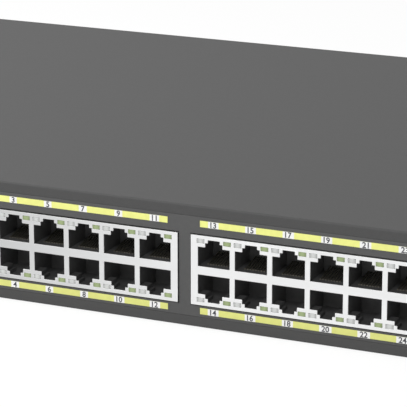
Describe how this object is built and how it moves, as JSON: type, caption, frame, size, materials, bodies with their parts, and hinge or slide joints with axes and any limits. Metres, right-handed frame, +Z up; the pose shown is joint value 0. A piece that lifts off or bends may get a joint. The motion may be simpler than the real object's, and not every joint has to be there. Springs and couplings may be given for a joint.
{
  "type": "rackmount network switch",
  "caption": "Flat steel-cased rackmount network switch with stacked jack blocks, an uplink cage, a console port, rack ears, rear fans and a mains inlet.",
  "frame": {"origin": "on the underside, below the middle of the outer box", "axes": "+X to the right along the front, +Y from the front to the back, +Z up"},
  "size_m": [0.4826, 0.254, 0.0444],
  "materials": {
    "cover_paint": "satin powder coat",
    "base_paint": "satin powder coat",
    "panel_paint": "satin powder coat",
    "zinc_steel": "zinc plated",
    "strip_ink": "screen print",
    "jack_metal": "tin plated",
    "jack_plastic": "moulded",
    "contact_gold": "gold plated",
    "green_lamp": "clear tinted",
    "clear_lamp": "clear",
    "button_plastic": "moulded",
    "board_green": "solder mask",
    "board_tan": "bare laminate",
    "standoff_brass": "turned",
    "chip_black": "moulded",
    "sink_aluminium": "extruded",
    "can_blue": "sleeved",
    "header_ivory": "moulded",
    "film_white": "film",
    "winding_copper": "enamelled",
    "inlet_plastic": "moulded",
    "pin_metal": "nickel plated",
    "fan_plastic": "moulded",
    "wire_red": "insulated",
    "wire_black": "insulated"
  },
  "bodies": {
    "chassis": {"base_pan": "base_paint", "front_panel": "panel_paint", "rear_panel": "base_paint", "top_cover": "cover_paint", "rack_ear_left": "base_paint", "rack_ear_right": "base_paint", "ear_screws": "zinc_steel", "cover_screws": "zinc_steel", "port_strips": "strip_ink", "jack_shield_left": "jack_metal", "jack_shield_right": "jack_metal", "jack_housing_left": "jack_plastic", "jack_housing_right": "jack_plastic", "jack_contacts_left": "contact_gold", "jack_contacts_right": "contact_gold", "link_lamps": "green_lamp", "activity_lamps": "clear_lamp", "uplink_cage": "jack_metal", "edge_connectors": "jack_plastic", "uplink_lamps": "clear_lamp", "console_shield": "jack_metal", "console_housing": "jack_plastic", "console_contacts": "contact_gold", "status_light_pipes": "clear_lamp", "reset_switch": "jack_plastic", "main_board": "board_green", "board_standoffs": "standoff_brass", "board_screws": "zinc_steel", "magnetics": "chip_black", "switch_chip": "chip_black", "switch_heat_sink": "sink_aluminium", "power_controllers": "chip_black", "controller_heat_sinks": "sink_aluminium", "board_capacitors": "can_blue", "board_headers": "header_ivory", "psu_board": "board_tan", "psu_standoffs": "standoff_brass", "psu_screws": "zinc_steel", "psu_insulator": "film_white", "transformer_core": "chip_black", "transformer_winding": "winding_copper", "bulk_capacitors": "can_blue", "psu_heat_sinks": "sink_aluminium", "line_choke": "winding_copper", "power_inlet": "inlet_plastic", "inlet_pins": "pin_metal", "inlet_screws": "zinc_steel", "ground_screw": "standoff_brass", "fan_frame_left": "fan_plastic", "fan_frame_right": "fan_plastic", "fan_stators": "winding_copper", "fan_screws": "zinc_steel", "supply_wires": "wire_red", "fan_leads": "wire_black", "line_wires": "wire_black"},
    "fan_rotor_left": {"fan_rotor_left": "fan_plastic"},
    "fan_rotor_right": {"fan_rotor_right": "fan_plastic"},
    "reset_button": {"reset_button": "button_plastic"}
  },
  "joints": [
    {"name": "fan_left_spin", "type": "hinge", "parent": "chassis", "child": "fan_rotor_left", "pos_m": [-0.174, 0.11138, 0.0222], "axis": [0, 1, 0], "continuous": true},
    {"name": "fan_right_spin", "type": "hinge", "parent": "chassis", "child": "fan_rotor_right", "pos_m": [-0.124, 0.11138, 0.0222], "axis": [0, 1, 0], "continuous": true},
    {"name": "reset_press", "type": "slide", "parent": "chassis", "child": "reset_button", "axis": [0, 1, 0], "range_m": [0, 0.0005], "stiffness_N_per_m": 2000}
  ]
}
